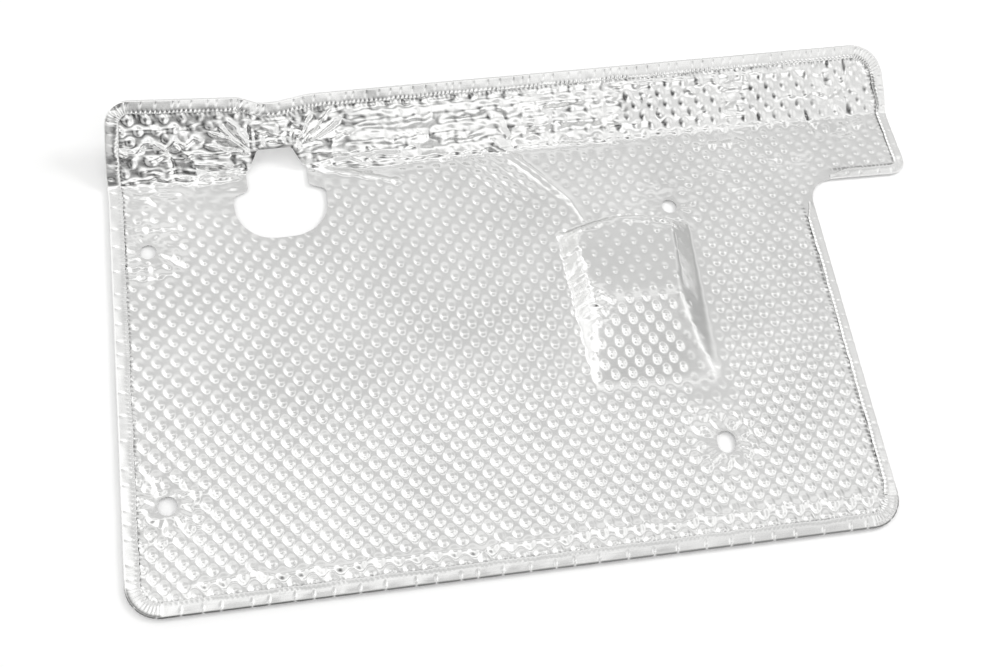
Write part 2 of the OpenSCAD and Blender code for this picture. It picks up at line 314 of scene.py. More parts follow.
# Distance inwards from the hem's fold and along the hem, distance from the keyhole, place in the bend's frame
edge_in, edge_at = field_from(resampled(hem_path, 1.5, closed=False), 13, hem_path[::3], closed=False)
key_out, _ = field_from(cuts[0], 22, cuts[0][::2])
bend_x, bend_y = to_bend(U, V)


# ---------------------------------------------------------------- the relief


def value_noise(size, seed):
    """Smooth noise from -1 to 1 with cells of that many millimetres, or (along u, along v)."""
    su, sv = size if isinstance(size, tuple) else (size, size)
    cells = 256
    table = np.random.default_rng(seed).uniform(-1, 1, (cells, cells))
    x, y = (U + 500) / su, (V + 500) / sv
    i, j = np.floor(x).astype(int), np.floor(y).astype(int)
    fx, fy = smooth(x - i), smooth(y - j)
    i0, j0, i1, j1 = i % cells, j % cells, (i + 1) % cells, (j + 1) % cells
    near_row = table[j0, i0] * (1 - fx) + table[j0, i1] * fx
    far_row = table[j1, i0] * (1 - fx) + table[j1, i1] * fx
    return near_row * (1 - fy) + far_row * fy


def folds(size, seed):
    """Noise with sharp ridges, as crumpled foil has."""
    finer = tuple(0.45 * k for k in size)
    return 0.5 - 1.6 * np.abs(value_noise(size, seed) + 0.35 * value_noise(finer, seed + 50))


def crease(path, width, depth, sharp=1.2, fade=0.25):
    """A ridge (depth over 0) or groove along a polyline on the blank, dying out at its ends."""
    path = np.array(path, float)
    lo, hi = path.min(0) - 4 * width, path.max(0) + 4 * width
    i0, i1 = np.searchsorted(us, [lo[0], hi[0]])
    j0, j1 = np.searchsorted(vs, [lo[1], hi[1]])
    if i1 <= i0 or j1 <= j0:
        return
    block = np.s_[j0:j1, i0:i1]
    dist, _, along = nearest(np.stack([U[block].ravel(), V[block].ravel()], 1), path, closed=False)
    t = along / lengths_along(path)[-1]
    ends = smooth(t / fade) * smooth((1 - t) / fade)
    relief[block] += (depth * ends * hump(dist, 0, width, sharp)).reshape(U[block].shape)


def bent(start, end, sway, seed, n=7):
    """A wandering line between two points."""
    start, end = np.array(start, float), np.array(end, float)
    t = np.linspace(0, 1, n)[:, None]
    d = end - start
    side = np.array([-d[1], d[0]]) / max(np.linalg.norm(d), 1e-6)
    off = np.random.default_rng(seed).normal(0, sway, (n, 1))
    off[0] = off[-1] = 0
    return start + t * d + off * side


def ray(start, degrees, length):
    """The end of a straight line on the blank."""
    q = math.radians(degrees)
    return start + np.array([length * math.cos(q), length * math.sin(q)])


def eased(t, knee):
    """t held between 0 and 1, with a rounded turn at each."""
    t = np.where(t < -knee, 0, np.where(t < knee, (t + knee) ** 2 / (4 * knee), t))
    return np.where(t > 1 + knee, 1, np.where(t > 1 - knee, 1 - (1 + knee - t) ** 2 / (4 * knee), t))


# The drawn blister: level top, short side walls, and a long ramp to the front.
BLISTER_H = 9.0
FOOT_L, FOOT_R, FOOT_BACK, FOOT_FRONT = 207.0, 271.0, 160.8, 78.8
TAPER = 3.0  # each side comes in this far at the front
BOW, BOW_W = 6.0, 29.0  # the back bulges, over this half width
RUN_L, RUN_R, RUN_BACK, RAMP = 6.0, 10.5, 5.0, 43.0  # how far each wall runs in plan
FAN_L, FAN_R, REAR_L = 4.2, 9.1, 4.0  # the sides run further at the front, the left one also at the rear
KNEE = 0.12
share = np.clip((V - FOOT_FRONT) / (FOOT_BACK - FOOT_FRONT), 0, 1.2)
bow = BOW * np.cos(np.clip((U - (FOOT_L + FOOT_R) / 2) / BOW_W, -1, 1) * math.pi / 2) ** 1.2
run_left = RUN_L + REAR_L * rise(V, 148, 12) + FAN_L * (1 - share) ** 2
run_right = RUN_R + FAN_R * (1 - share) ** 2
from_left = (U - (FOOT_L + TAPER * (1 - share))) / run_left
from_right = (FOOT_R - TAPER * (1 - share) - U) / run_right
from_back = (FOOT_BACK + bow - V) / RUN_BACK
from_front = (V - FOOT_FRONT) / RAMP
corner_soft = 0.13 - 0.08 * rise(U, 244, 8)
walls = np.clip(np.stack([from_left, from_right, from_back, from_front]), -1, 3)
low = -corner_soft * np.log(np.exp(-walls / corner_soft).sum(0))  # 0 at the foot and 1 at the top's edge
blister = BLISTER_H * eased(low, KNEE)
on_blister = rise(low, -0.3, 0.4)
on_top = rise(low, 0.9, 0.15)
on_wall = rise(low, -0.1, 0.1) * (1 - on_top) * (from_front > low + 0.25)
right_wall = rise(U, 250, 6) * rise(low, -0.5, 0.4) * (1 - on_top)
left_wall = rise(low, -0.15, 0.2) * fall(low, 1.0, 0.25) * fall(U, 221, 4) * rise(V, 102, 20)
back_wall = rise(V, 153, 5) * rise(low, -0.3, 0.3) * fall(low, 1.0, 0.3)
back_rim = hump(from_back, 1.3, 0.28) * rise(from_left, 0.5, 0.4) * rise(from_right, 0.5, 0.4)

# Zones of the flange: the whole of it, its clearer right end, and what is crushed flat
up_flange = rise(bend_y, -8, 8)
clear = up_flange * rise(bend_x, 246, 8)
CRUSH_SLOPE = 0.7
CRUSHED = (
    # x, distance from the bend, half widths, how far crushed
    (116, 10, 26, 16, 0.95),
    (54, 8, 14, 18, 0.9),
    (81, 18, 16, 8, 0.9),
    (28, -6, 24, 7, 0.9),
    (56, -12, 13, 8, 0.9),
    (122, -5, 22, 5, 0.9),
    (42, 8, 17, 9, 0.8),
    (12, 16, 12, 4, 0.6),
    (207, 14, 7, 14, 0.8),
    (246, 12, 5, 16, 0.8),
    (306, 12, 5, 16, 0.8),
    (352, 16, 5, 12, 0.6),
    (290, 28, 50, 2.5, 0.7),
)
crushed = np.zeros((NV, NU))
for x, y, wide, deep, much in CRUSHED:
    off = ((bend_x - x) / wide) ** 2 + ((bend_y - y) / deep) ** 2
    crushed = np.maximum(crushed, much * np.exp(-(off**1.5) * CRUSH_SLOPE))

# Strength of the embossing: 1 as rolled, less where it was drawn, crushed or pressed
strength = 0.96 + 0.1 * value_noise(28, 3) + 0.05 * value_noise(9, 4)
strength *= 1 - 0.42 * on_top
strength *= (1 - 0.55 * on_wall) * (1 - 0.75 * right_wall)
strength *= 1.06 - 0.49 * rise(V, 60, 48) * fall(low, -0.4, 0.4) - 0.30 * on_blister
strength *= 1 + 0.08 * rise(U, 262, 40) * rise(V, 95, 50)
strength *= 1 - up_flange * (0.34 + 0.3 * value_noise(15, 5)) * (1 - 0.8 * clear)
strength *= 1 - 0.85 * crushed
strength *= 1 + 0.5 * fall(bend_x, 40, 12) * rise(bend_y, 12, 5)
strength *= 0.55 + 0.45 * rise(key_out, 0.5, 4)
strength *= 1 - 0.3 * hump(V, 14, 2.6) * rise(U, 20, 10)
strength *= 1 - 0.2 * rise(U, 322, 14) * rise(V, 168, 10)

# Round each hole a flat pad, and puckers that radiate from it
PUCKER_WAVES = (5, 7, 9, 12, 17)  # how many go round
PUCKERS = ((0.11, 1), (0.06, 0.5), (0.13, 1.1), (0.16, 1))  # how strong its waves and its folds are
pads = np.zeros((NV, NU))
pucker = np.zeros((NV, NU))
for n, ((hole_u, hole_v, hole_r, extra), (waves, wrinkles)) in enumerate(zip(HOLES, PUCKERS)):
    du, dv = U - hole_u, V - hole_v
    dv = np.sign(dv) * np.maximum(np.abs(dv) - extra, 0)
    rho, theta = np.hypot(du, dv), np.arctan2(dv, du)
    out = rho - hole_r
    strength *= rise(out, 2.2, 6.5) * 0.97 + 0.03
    r = np.random.default_rng(40 + n)
    wave = sum(
        r.uniform(0.4, 1.0) * np.cos(k * theta + r.uniform(0, 6.28) + 0.12 * rho) for k in PUCKER_WAVES
    )
    band = rise(out, 0.8, 2.5) * fall(rho, 13, 8)
    pucker += waves * wave * band + 0.42 * folds((7, 5), 90 + n) * band * wrinkles
    pads += 0.35 * hump(out, 1, 4.5)


def domes(u, v):
    """The nearest dome of the staggered rows: distance from its middle in radii, and its own height."""
    best, tall = np.full(u.shape, 9.0), np.ones(u.shape)
    cells = 64
    table = np.random.default_rng(21).uniform(-1, 1, (4, 2, cells, cells))
    for row in (0, 1):
        x = (u - LATTICE[0]) / PITCH_U - 0.5 * row
        y = (v - LATTICE[1]) / (2 * PITCH_V) - 0.5 * row
        i, j = np.rint(x).astype(int), np.rint(y).astype(int)
        shift_u, shift_v, bigger, taller = table[:, row, j % cells, i % cells]
        dx = (x - i) * PITCH_U + DOME_SHIFT * shift_u
        dy = (y - j) * 2 * PITCH_V + DOME_SHIFT * shift_v
        size = 1 + DOME_SIZE_VARIES * bigger
        radii = np.hypot(dx / (DOME_A * size), dy / (DOME_B * size))
        take = radii < best
        best = np.where(take, radii, best)
        tall = np.where(take, 1 + DOME_HEIGHT_VARIES * taller, tall)
    return best, tall


rr, tall = domes(U, V)
# Drawing the blister shrank them, and they are smaller towards the rear
rr *= 1 + 0.42 * on_blister + 0.35 * on_top + 0.2 * rise(V, 100, 60) * (1 - on_blister)
# A blunt cone with a soft foot: its tip is nearly flat, as the embossing roll leaves it
TIP, BLUNT, BLUNT_SOFT, FOOT_SOFT = 0.3, 0.64, 0.12, 0.16
cap = 1 - (np.sqrt(rr * rr + TIP * TIP) - TIP) / (math.sqrt(1 + TIP * TIP) - TIP)
cap = (cap + BLUNT - np.sqrt((cap - BLUNT) ** 2 + BLUNT_SOFT**2)) / 2
dome = DOME_H * tall * (cap + np.sqrt(cap * cap + FOOT_SOFT * FOOT_SOFT)) / 2 * smooth((1.9 - rr) / 0.7)

# Waviness of the thin sheet
relief = 0.35 * value_noise(46, 7) + 0.16 * value_noise(19, 8) + 0.035 * value_noise(6.5, 9)
relief *= 0.35 + 0.65 * rise(edge_in, 3, 10)

# Crushed flange: the rows of domes pressed into lengthwise ridges, with crumpled foil between
RIDGE_PITCH, RIDGE_AT = 2 * PITCH_V, 10.5
ridge_zone = rise(bend_x, 112, 14) * fall(bend_x, 236, 16)
ridge_sway = 1.3 * value_noise((38, 60), 12) + 0.4 * value_noise((9, 20), 13)
ridge_wave = (bend_y - RIDGE_AT + ridge_sway) / RIDGE_PITCH
ridges = ridge_zone * np.cos(2 * math.pi * ridge_wave) * (0.75 + 0.25 * value_noise((16, 40), 14))
relief += 0.62 * ridges * up_flange * rise(edge_in, 5, 4)
fan_zone = hump(bend_x, 118, 26, 4) + hump(bend_x, 52, 15, 4)
off_hem = rise(edge_in, 4, 4)
crumple = 0.22 * value_noise((12, 3.4), 16) + 0.12 * value_noise((5.5, 2.6), 17)
crumple += 0.1 * value_noise((4, 9), 18)
crumple *= up_flange * (1 - 0.5 * ridge_zone) * (1 - 0.6 * clear) * (1 - 0.7 * fall(bend_x, 100, 20))
relief += crumple * (1 - 0.6 * fan_zone) * off_hem
coarse = (0.62 - 0.2 * fall(bend_x, 45, 10)) * folds((13, 4.5), 24)
relief += (1 - 0.7 * fan_zone) * coarse * np.maximum(crushed, 0.22 * up_flange * (1 - 0.7 * clear)) * off_hem
relief += 0.36 * (1 - 0.7 * fan_zone) * folds((6, 3.2), 25) * crushed * off_hem

# Creases. All of them draw from these dice in turn.
dice = np.random.default_rng(77)


def either(low_size, high_size):
    """A random size with a random sign."""
    return dice.choice([-1, 1]) * dice.uniform(low_size, high_size)


LONG_CREASES = (
    # from x, to x, distance from the bend, how far it wanders, depth
    (5, 50, 17.0, 1.9, 0.9),
    (9, 62, 1.0, 1.2, 0.6),
    (22, 62, 10.5, 1.1, 0.6),
    (24, 60, 5.5, 1.0, 0.5),
    (98, 150, 6.5, 0.6, 0.6),
    (100, 140, 3.5, 0.5, 0.5),
    (44, 66, -1.5, 1.0, 0.5),
    (100, 236, 0.6, 0.5, 0.45),
    (205, 250, 0.9, 0.8, 0.55),
    (246, 352, 0.7, 0.6, 0.5),
    (10, 40, 25.0, 0.6, 0.4),
    (140, 240, 26.0, 0.6, 0.35),
    (240, 350, 25.5, 0.5, 0.4),
)
for x0, x1, y, sway, deep in LONG_CREASES:
    bends = max(5, int((x1 - x0) / 4))
    crease(bent(from_bend(x0, y), from_bend(x1, y), sway, int(x0 + 7 * y), bends), 1.0, deep, fade=0.06)
for k in range(30):
    x = dice.uniform(8, 372)
    length = dice.uniform(8, 34)
    y = dice.choice([-4.5, -1.5, 3.0, 8.0, 13.0, 18.0, 23.0])
    y += dice.normal(0, 0.8)
    a, b = from_bend(x, y), from_bend(min(x + length, 382), y + dice.normal(0, 1.6))
    crease(bent(a, b, 0.7, 100 + k), dice.uniform(0.6, 1.2), either(0.2, 0.45))
# Kinks across the flange, fainter on its right, and small dents
for k, x in enumerate([34, 46, 62, 108, 156, 198, 214, 221, 246, 268, 306, 318, 322, 352, 358]):
    a, b = from_bend(x, -2), from_bend(x + dice.normal(0, 4), dice.uniform(14, 30))
    crease(bent(a, b, 1.1, 200 + k), dice.uniform(0.8, 1.6), either(0.3, 0.6) * (0.4 if x > 240 else 1))
for k in range(60):
    a = from_bend(dice.uniform(8, 378), dice.uniform(2, 30))
    b = a + dice.normal(0, 1, 2) * (4.5, 2.5)
    crease([a, b], dice.uniform(0.5, 1.0), either(0.15, 0.4), fade=0.4)
# Wrinkles that radiate from the foot and from the top of the keyhole's mouth, to the right and to the left
FANS = (
    # side, seed, depths, then for the foot and the top: start, how many, first angle, step, lengths, width
    (1, 300, (0.6, 1.0), (from_bend(94.5, 2), 7, -14, 3.4, (22, 52), 1.0),
     (from_flange(90.5, KEY_TOP), 10, 10, 6, (14, 30), 0.7)),
    (-1, 330, (0.5, 0.9), (from_bend(68.5, 2), 6, 192, -4, (14, 34), 1.0),
     (from_flange(72.3, KEY_TOP), 7, 166, -7, (12, 24), 0.7)),
)
for side, seed, depths, *groups in FANS:
    k = 0
    for start, count, first, step, lengths, slim in groups:
        for turn in range(count):
            angle = first + step * turn + dice.normal(0, 2)
            length = dice.uniform(*lengths)
            a = start + dice.normal(0, 1.2, 2) + (side * dice.uniform(1, 4), 0)
            line = bent(a, ray(a, angle, length), 0.35, seed + k)
            crease(line, dice.uniform(0.9, 1.4) * slim, (-1) ** k * dice.uniform(*depths), fade=0.15)
            k += 1
for k in range(7):
    a = from_flange(70 + 3.3 * k, KEY_TOP + 1.2)
    b = a + (dice.normal(0, 2.5), dice.uniform(7, 13))
    crease(bent(a, b, 0.5, 350 + k), dice.uniform(0.6, 1.0), either(0.3, 0.55))
# The drawn crease from the blister's back left corner up to the bend, with drag lines beside it
DRAWN = np.array([(223.5, 161), (217, 178), (205, 193), (193, 206), (180, 218)], float)
crease(DRAWN, 2.0, 0.9, fade=0.12)
drawn_off, _ = field_from(DRAWN, 24, DRAWN, closed=False)
strength *= 1 - 0.9 * hump(drawn_off, 0, 3.0)
for k in range(7):
    crease(DRAWN[1:] - np.array([3.4, 0.6]) * (k + 1), 1.1, 0.32 * (-1) ** k, fade=0.3)
# A long ridge beside the front hem, and the squashed row inside it
crease(bent((22, 13.5), (330, 14.5), 0.9, 500, 40), 1.8, 0.75, sharp=2, fade=0.05)
for k in range(40):
    a = np.array([14 + 8 * k, 9.6]) + dice.normal(0, 0.6, 2)
    crease([a, a + (dice.normal(0, 0.6), -3.4)], 0.8, 0.3 * (-1) ** k, fade=0.4)
# Small dents over the right rear panel, and folds in the ear
for k in range(26):
    a = np.array([dice.uniform(230, 372), dice.uniform(150, 204)])
    b = ray(a, dice.uniform(150, 200), dice.uniform(4, 14))
    crease([a, b], dice.uniform(0.6, 1.3), either(0.15, 0.4), fade=0.45)
for k in range(9):
    a = np.array([dice.uniform(346, 376), dice.uniform(190, 236)])
    b = ray(a, dice.uniform(60, 140), dice.uniform(8, 22))
    crease(bent(a, b, 1.5, 400 + k), dice.uniform(0.8, 1.6), either(0.35, 0.7))
crease(bent(from_bend(365, 14), from_bend(380, 21), 1.0, 420), 2.2, -0.9, fade=0.3)
crease(bent(from_bend(365, 15), from_bend(363, 1), 1.0, 421), 2.0, -0.8, fade=0.3)
crease(bent(from_bend(290, -9), from_bend(308, -8), 0.4, 422), 1.0, 0.7, fade=0.15)

# Crinkles on the blister's left and back walls, and along its back rim
relief += left_wall * (0.55 * folds((9, 3.4), 95) + 0.35 * folds((4, 2.4), 96))
relief += back_rim * (0.55 + 0.5 * folds((5, 4), 98))
relief += back_wall * 0.5 * folds((3.4, 6), 97)
relief += pucker + pads
# Crimp marks just inside the hem's raw edge
CRIMP_PITCH = 2.1
crimp = np.sin(edge_at * 2 * math.pi / CRIMP_PITCH + 1.4 * value_noise(9, 15))
relief += 0.1 * crimp * hump(edge_in - HEM_W, 0.9, 0.7)

# The sheet flattens under the hem, and nothing hangs lower than LOWEST
LOWEST = -0.62
under_hem = rise(edge_in, 2.0, 6.5)
height = blister + relief * (0.25 + 0.75 * under_hem) + dome * strength * under_hem
height = np.where(edge_in < HEM_W + 0.4, np.minimum(height, 0.25 + 0.5 * rise(edge_in, 2, 4)), height)
height = np.maximum(height, LOWEST) * rise(edge_in, 1.6, 1.2)

DASH_PITCH = 2.3


def dashes(at, wander, gaps):
    """Uneven dashes along the hem's raw edge."""
    return smooth((np.sin(at * 2 * math.pi / DASH_PITCH + wander) + 0.25 + gaps) / 0.5)


def right_side(u, v):
    """1 along the panel's right side, where the hem is narrower."""
    return rise(u, 325, 8) * fall(to_bend(u, v)[1], 5, 10) * rise(v, 14, 8)


# Painted shade in dashes beside the hem's raw edge, where the gap under it is shaded, and painted shade along
# the mouth of the keyhole
dash = dashes(edge_at, 2.2 * value_noise(14, 31), 0.9 * value_noise(17, 32))
raw_edge = HEM_W - HEM_NARROWER * right_side(U, V)
along_hem = smooth(edge_at / 4) * smooth((hem_length - edge_at) / 4)
painted_shade = 0.75 * dash * along_hem * hump(edge_in - raw_edge, 0.35, 0.5)
painted_shade = np.maximum(painted_shade, 0.6 * fall(key_out, 0.4, 1.4) * rise(bend_y, 2, 4))

# Where the foil is finely crinkled
crinkle = up_flange * (0.45 + 0.75 * smooth(crushed / 0.6) * (1 - 0.6 * fan_zone)) * (1 - 0.6 * clear)
crinkle = np.maximum(crinkle, 0.8 * left_wall)
for hole_u, hole_v, hole_r, _ in HOLES:
    crinkle = np.maximum(crinkle, 0.6 * hump(np.hypot(U - hole_u, V - hole_v), 0, 3.2 * hole_r, 4))
crinkle *= rise(edge_in, HEM_W, 2)

# ---------------------------------------------------------------- meshes

top = placed(U, V, height + SHEET_T)
under = placed(U, V, height)
SLIVER = 0.01  # triangles with less than half this area are left out


def in_polygon(poly, x, y):
    """Which of some loose points lie in a polygon."""
    after = np.roll(poly, -1, axis=0)
    hit = (poly[None, :, 1] > y[:, None]) != (after[None, :, 1] > y[:, None])
    level = np.where(after[:, 1] == poly[:, 1], 1, after[:, 1] - poly[:, 1])
    cross = poly[None, :, 0] + (y[:, None] - poly[None, :, 1]) / level * (after - poly)[None, :, 0]
    return (hit & (x[:, None] < cross)).sum(1) % 2 == 1


def grid_triangles():
    """Kept triangles of the grid, as index triples, and the cell each came from."""
    index = np.arange(NV * NU).reshape(NV, NU)
    a, b = index[:-1, :-1], index[:-1, 1:]
    c, d = index[1:, 1:], index[1:, :-1]
    s = state.ravel()
    sa, sb, sc, sd = s[a], s[b], s[c], s[d]
    # each cell is split along the diagonal that keeps the most of it
    swap = ((sb < 0) | (sd < 0)) & (sa >= 0) & (sc >= 0)
    swap |= (sa == 0) & (sc == 0) & (sb > 0) & (sd > 0)
    lower = np.where(swap[..., None], np.stack([a, b, c], -1), np.stack([a, b, d], -1))
    upper = np.where(swap[..., None], np.stack([a, c, d], -1), np.stack([b, c, d], -1))
    cells = np.arange((NV - 1) * (NU - 1))
    tris = np.concatenate([lower.reshape(-1, 3), upper.reshape(-1, 3)])
    cell = np.concatenate([cells, cells])
    flat = np.stack([U.ravel(), V.ravel()], 1)
    p, q, w = flat[tris[:, 0]], flat[tris[:, 1]], flat[tris[:, 2]]
    area = (q[:, 0] - p[:, 0]) * (w[:, 1] - p[:, 1]) - (q[:, 1] - p[:, 1]) * (w[:, 0] - p[:, 0])
    ok = (s[tris] >= 0).all(1) & (area > SLIVER)
    # triangles whose corners are all on an edge may lie outside the sheet
    centre = (p + q + w) / 3
    doubtful = np.nonzero(ok & (s[tris] == 0).all(1))[0]
    for poly, wanted in [(sheet_edge, True)] + [(cut, False) for cut in cuts]:
        ok[doubtful[in_polygon(poly, *centre[doubtful].T) != wanted]] = False
    return tris[ok], cell[ok]


def face_normals(points, tris):
    """Each triangle's normal, as long as twice its area."""
    return np.cross(points[tris[:, 1]] - points[tris[:, 0]], points[tris[:, 2]] - points[tris[:, 0]])


def surface_normals(points, tris):
    """Unit normals of a surface's points from all the triangles round them."""
    p = points.reshape(-1, 3)
    n = face_normals(p, tris)
    out = np.zeros_like(p)
    for k in range(3):
        for axis in range(3):
            out[:, axis] += np.bincount(tris[:, k], n[:, axis], len(p))
    size = np.linalg.norm(out, axis=1)
    out[size > 0] /= size[size > 0, None]
    return out


def flat_normals(points, tris):
    """Unit normals for each corner of triangles that are shaded flat."""
    n = face_normals(points, tris)
    n /= np.maximum(np.linalg.norm(n, axis=1), 1e-12)[:, None]
    return np.repeat(n[:, None, :], 3, 1)


def mesh_object(name, points, tris, normals, material, flat_uv, marks):
    """A mesh object from numpy arrays, with a normal for each corner and marks for each point."""
    me = bpy.data.meshes.new(name)
    me.vertices.add(len(points))
    me.vertices.foreach_set("co", points.astype(np.float32).ravel())
    me.loops.add(len(tris) * 3)
    me.loops.foreach_set("vertex_index", tris.astype(np.int32).ravel())
    me.polygons.add(len(tris))
    me.polygons.foreach_set("loop_start", np.arange(0, len(tris) * 3, 3, dtype=np.int32))
    me.polygons.foreach_set("use_smooth", np.ones(len(tris), bool))
    me.update(calc_edges=True)
    me.validate()
    me.normals_split_custom_set(normals.reshape(-1, 3).tolist())
    for mark, values in marks.items():
        me.attributes.new(mark, "FLOAT", "POINT").data.foreach_set("value", values.astype(np.float32))
    layer = me.uv_layers.new(name="OFBake")
    layer.uv.foreach_set("vector", flat_uv.astype(np.float32).ravel())
    ob = bpy.data.objects.new(name, me)
    bpy.context.collection.objects.link(ob)
    me.materials.append(material)
    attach(ob, "root")
    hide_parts("shield")


def sheet_piece(name, chosen, material):
    """The closed solid under the chosen triangles: top, underside, and walls at its edges."""
    tris = kept[chosen]
    used, local = np.unique(tris, return_inverse=True)
    local = local.reshape(-1, 3)
    n = len(used)
    points = np.concatenate([top.reshape(-1, 3)[used], under.reshape(-1, 3)[used]])
    edges = np.concatenate([local[:, [0, 1]], local[:, [1, 2]], local[:, [2, 0]]])
    key = edges.min(1) * n + edges.max(1)
    _, first, count = np.unique(key, return_index=True, return_counts=True)
    rim = edges[first[count == 1]]
    sides = np.concatenate(
        [
            np.stack([rim[:, 1], rim[:, 0], rim[:, 0] + n], 1),
            np.stack([rim[:, 1], rim[:, 0] + n, rim[:, 1] + n], 1),
        ]
    )
    every = np.concatenate([local, local[:, ::-1] + n, sides])
    normals = np.concatenate([top_normals[tris], -under_normals[tris[:, ::-1]], flat_normals(points, sides)])
    # the two faces lie side by side in the UV map
    flat = np.stack([U.ravel()[used], V.ravel()[used]], 1)
    wide, deep = np.ptp(flat, axis=0)
    flat = (flat - flat.min(0)) / (2.2 * max(wide, deep))
    uv = np.concatenate([flat, flat + ((0.5, 0.0) if wide < deep else (0.0, 0.5))])
    # painted shade marks for the top face; the underside gets none
    shade_here, fine = painted_shade.ravel()[used], crinkle.ravel()[used]
    marks = {"painted_shade": np.concatenate([shade_here, 0 * shade_here]), "crinkle": np.concatenate([fine, fine])}
    mesh_object(name, points, every, normals, material, uv[every], marks)


kept, cell = grid_triangles()
top_normals = surface_normals(top, kept)
under_normals = surface_normals(under, kept)

# ---------------------------------------------------------------- materials

TINT = (0.93, 0.93, 0.925)
# near-black colour of the painted shade
SHADE_COLOUR = (0.10, 0.10, 0.10, 1)
SHEET_ROUGH, HEM_ROUGH = 0.15, 0.19
GRAIN_DEPTH, CRINKLE_DEPTH = 0.00006, 0.00035  # in metres


def nodes_of(tree):
    """Two functions for an emptied node tree: one adds a node, one links two sockets."""
    tree.nodes.clear()

    def make(kind, **values):
        node = tree.nodes.new(kind)
        for k, v in values.items():
            setattr(node, k, v)
        return node

    return make, tree.links.new


def aluminium(name, rough, tint):
    """Bright rolled aluminium: fine rolling streaks, patches of gloss, painted shade where marked, and
    crinkles where marked.
    """
    m = bpy.data.materials.new(name)
    m.use_nodes = True
    make, link = nodes_of(m.node_tree)
    where = make("ShaderNodeTexCoord").outputs["Object"]

    def noise(scale, detail, turn=0.0, **kind):
        """Noise over the object, stretched and turned if scale is three numbers."""
        node = make("ShaderNodeTexNoise", **kind)
        vector = where
        if isinstance(scale, tuple):
            stretch = make("ShaderNodeMapping")
            stretch.inputs["Scale"].default_value = scale
            stretch.inputs["Rotation"].default_value = (0, 0, turn)
            link(where, stretch.inputs["Vector"])
            vector, scale = stretch.outputs[0], 1
        link(vector, node.inputs["Vector"])
        node.inputs["Scale"].default_value = scale
        node.inputs["Detail"].default_value = detail
        return node.outputs["Fac"]

    def combined(operation, first, second):
        node = make("ShaderNodeMath", operation=operation)
        link(first, node.inputs[0])
        link(second, node.inputs[1])
        return node.outputs[0]

    def mark(attribute):
        return make("ShaderNodeAttribute", attribute_name=attribute).outputs["Fac"]

    def bump(height_socket, strong, distance):
        node = make("ShaderNodeBump")
        node.inputs["Strength"].default_value = strong
        node.inputs["Distance"].default_value = distance
        link(height_socket, node.inputs["Height"])
        return node

    patches = noise(22, 5)
    streaks = noise((40, 1400, 700), 3, turn=0.03)
    specks = noise(900, 2)
    creases = noise((150, 330, 330), 2, turn=-0.25, noise_type="RIDGED_MULTIFRACTAL")

    bsdf = make("ShaderNodeBsdfPrincipled")
    link(bsdf.outputs[0], make("ShaderNodeOutputMaterial").inputs[0])
    bsdf.inputs["Metallic"].default_value = 1.0

    colour = make("ShaderNodeValToRGB")
    for stop, position, brightness in zip(colour.color_ramp.elements, (0.3, 0.7), (0.9, 1)):
        stop.position = position
        stop.color = (*[c * brightness for c in tint], 1)
    link(patches, colour.inputs[0])
    # painted shade: marked points are darkened towards the near-black colour
    darker = make("ShaderNodeMix", data_type="RGBA")
    link(mark("painted_shade"), darker.inputs["Factor"])
    link(colour.outputs[0], darker.inputs["A"])
    darker.inputs["B"].default_value = SHADE_COLOUR
    link(darker.outputs["Result"], bsdf.inputs["Base Color"])

    roughness = make("ShaderNodeMapRange")
    ends = {"From Min": 0.7, "From Max": 1.3, "To Min": rough * 0.75, "To Max": rough * 1.35}
    for socket, value in ends.items():
        roughness.inputs[socket].default_value = value
    link(combined("ADD", patches, streaks), roughness.inputs["Value"])
    link(roughness.outputs[0], bsdf.inputs["Roughness"])

    grain = bump(combined("ADD", streaks, specks), 0.25, GRAIN_DEPTH)
    crinkles = bump(combined("MULTIPLY", creases, mark("crinkle")), 1.0, CRINKLE_DEPTH)
    link(grain.outputs[0], crinkles.inputs["Normal"])
    link(crinkles.outputs[0], bsdf.inputs["Normal"])
    return m


foil = aluminium("aluminium_sheet", SHEET_ROUGH, TINT)
folded_foil = aluminium("aluminium_hem", HEM_ROUGH, TINT)

# ---------------------------------------------------------------- the sheet's pieces

# Strips of the panel, cut at these u, and behind SEAM_V the flange with the bend
STRIPS = (-10.0, 92.0, 184.0, 276.0, 400.0)
SEAM_V = 196.0
cell_u = us[cell % (NU - 1)] + DU / 2
cell_v = vs[cell // (NU - 1)] + DV / 2
for name, start, end in zip(
    ("panel_left", "panel_mid_left", "panel_mid_right", "panel_right"), STRIPS[:-1], STRIPS[1:]
):
    sheet_piece(name, (cell_v <= SEAM_V) & (cell_u > start) & (cell_u <= end), foil)
sheet_piece("flange", cell_v > SEAM_V, foil)

# ---------------------------------------------------------------- the hem

n_s = len(hem_path)
hem_u, hem_v = hem_path[:, 0], hem_path[:, 1]
heading = np.unwrap(np.arctan2(tangent[:, 1], tangent[:, 0]))
curve = np.convolve(np.abs(np.gradient(heading, hem_along)), np.ones(9) / 9, "same")
corner = rise(curve, 0.03, 0.03)


def line_noise(size, seed):
    """Smooth noise from -1 to 1 along the hem."""
    x = hem_along / size
    i = np.floor(x).astype(int)
    cells = 4096
    t = np.random.default_rng(seed).uniform(-1, 1, cells)
    f = smooth(x - i)
    return t[i % cells] * (1 - f) + t[(i + 1) % cells] * f


def stations(r, low_len, high_len):
    """Unevenly spaced places, more than enough for the whole hem."""
    return np.cumsum(r.uniform(low_len, high_len, int(2.5 * hem_length / (low_len + high_len)) + 8))


def facets(low_len, high_len, seed):
    """Straight runs between random stations, as the crimped hem's flats."""
    r = np.random.default_rng(seed)
    at = stations(r, low_len, high_len)
    return np.interp(hem_along, np.r_[0, at], r.uniform(-1, 1, len(at) + 1))


